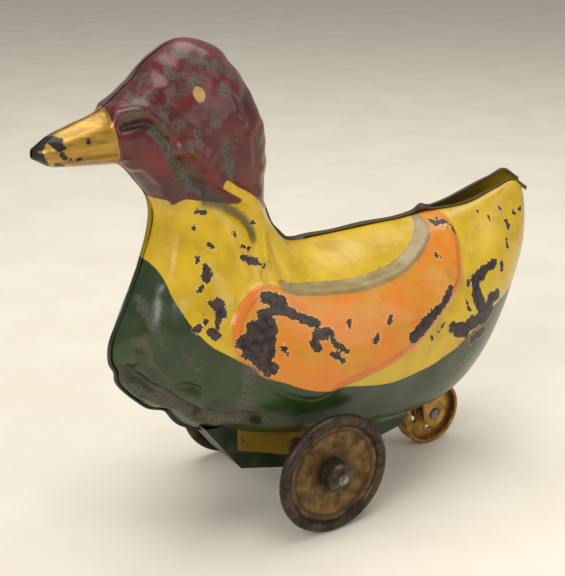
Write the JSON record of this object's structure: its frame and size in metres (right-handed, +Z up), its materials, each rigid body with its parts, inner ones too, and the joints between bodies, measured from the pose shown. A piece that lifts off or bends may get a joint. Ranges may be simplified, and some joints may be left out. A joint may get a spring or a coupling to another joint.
{
  "type": "clockwork rolling duck",
  "caption": "Pressed steel toy duck that rolls on front drive wheels and a rear wheel, with a key-wound clockwork inside its body.",
  "frame": {"origin": "on the floor under the body's middle, in the seam plane between the two halves", "axes": "-X out of the beak, -Y out of the duck's left side, +Z up"},
  "size_m": [0.2342, 0.108, 0.196],
  "materials": {
    "painted_body": "glossy enamel in maroon, yellow, orange and green, chipped to dark steel",
    "pan_green": "dark green enamel with a yellow patch on each side",
    "wheel_steel": "worn gilt lacquer over rusty steel",
    "hub_dark": "dark patina",
    "axle_steel": "dull steel",
    "rear_gilt": "worn gilt finish",
    "rivet_brown": "brown patina",
    "frame_steel": "tinned steel",
    "gear_brass": "stamped brass",
    "spring_steel": "blued spring steel",
    "key_steel": "nickelled steel, worn"
  },
  "bodies": {
    "root": {"body_shell_left": "painted_body", "body_shell_right": "painted_body", "belly_pan": "pan_green", "axle_bushes": "hub_dark", "rear_fork": "rear_gilt", "rear_axle_pin": "rivet_brown", "frame_plate_left": "frame_steel", "frame_plate_right": "frame_steel", "frame_pillars": "frame_steel", "mainspring": "spring_steel", "key_collar": "key_steel"},
    "drive_wheels": {"front_axle": "axle_steel", "front_wheel_left": "wheel_steel", "front_wheel_right": "wheel_steel", "wheel_back_left": "wheel_steel", "wheel_back_right": "wheel_steel", "hub_boss_left": "hub_dark", "hub_boss_right": "hub_dark", "axle_pinion": "gear_brass"},
    "rear_wheel": {"rear_hub": "rivet_brown", "rear_wheel_left": "rear_gilt", "rear_wheel_right": "rear_gilt"},
    "second_train": {"second_arbor": "axle_steel", "second_wheel": "gear_brass", "second_pinion": "gear_brass"},
    "great_wheel_set": {"great_wheel": "gear_brass", "click_rivet": "frame_steel", "click_spring": "spring_steel"},
    "click_lever": {"click": "frame_steel"},
    "winding_set": {"winding_arbor": "axle_steel", "winding_key": "key_steel", "ratchet_wheel": "gear_brass"},
    "governor": {"governor_arbor": "axle_steel", "governor_pinion": "gear_brass", "governor_fan": "frame_steel"}
  },
  "joints": [
    {"name": "front_axle_spin", "type": "hinge", "parent": "root", "child": "drive_wheels", "pos_m": [-0.0164, 0, 0.0254], "axis": [0, 1, 0], "continuous": true},
    {"name": "second_arbor_spin", "type": "hinge", "parent": "root", "child": "second_train", "pos_m": [-0.00841, 0, 0.0446], "axis": [0, 1, 0], "continuous": true},
    {"name": "great_wheel_spin", "type": "hinge", "parent": "root", "child": "great_wheel_set", "pos_m": [-0.01441, 0, 0.06701], "axis": [0, 1, 0], "continuous": true},
    {"name": "governor_spin", "type": "hinge", "parent": "root", "child": "governor", "pos_m": [0.01119, 0, 0.04062], "axis": [0, 1, 0], "continuous": true},
    {"name": "winding_turn", "type": "hinge", "parent": "great_wheel_set", "child": "winding_set", "pos_m": [-0.01441, 0, 0.06701], "axis": [0, 1, 0], "continuous": true},
    {"name": "click_lift", "type": "hinge", "parent": "great_wheel_set", "child": "click_lever", "pos_m": [-0.00441, 0, 0.07451], "axis": [0, 1, 0], "range_deg": [0, 12], "stiffness_Nm_per_rad": 0.0005, "springref_deg": -11.46},
    {"name": "rear_wheel_spin", "type": "hinge", "parent": "root", "child": "rear_wheel", "pos_m": [0.0655, 0, 0.0158], "axis": [0, 1, 0], "continuous": true}
  ],
  "couplings": [
    {"joint": "second_arbor_spin", "follows": "front_axle_spin", "ratio": -0.3},
    {"joint": "great_wheel_spin", "follows": "front_axle_spin", "ratio": 0.0625},
    {"joint": "governor_spin", "follows": "front_axle_spin", "ratio": 1.2}
  ]
}
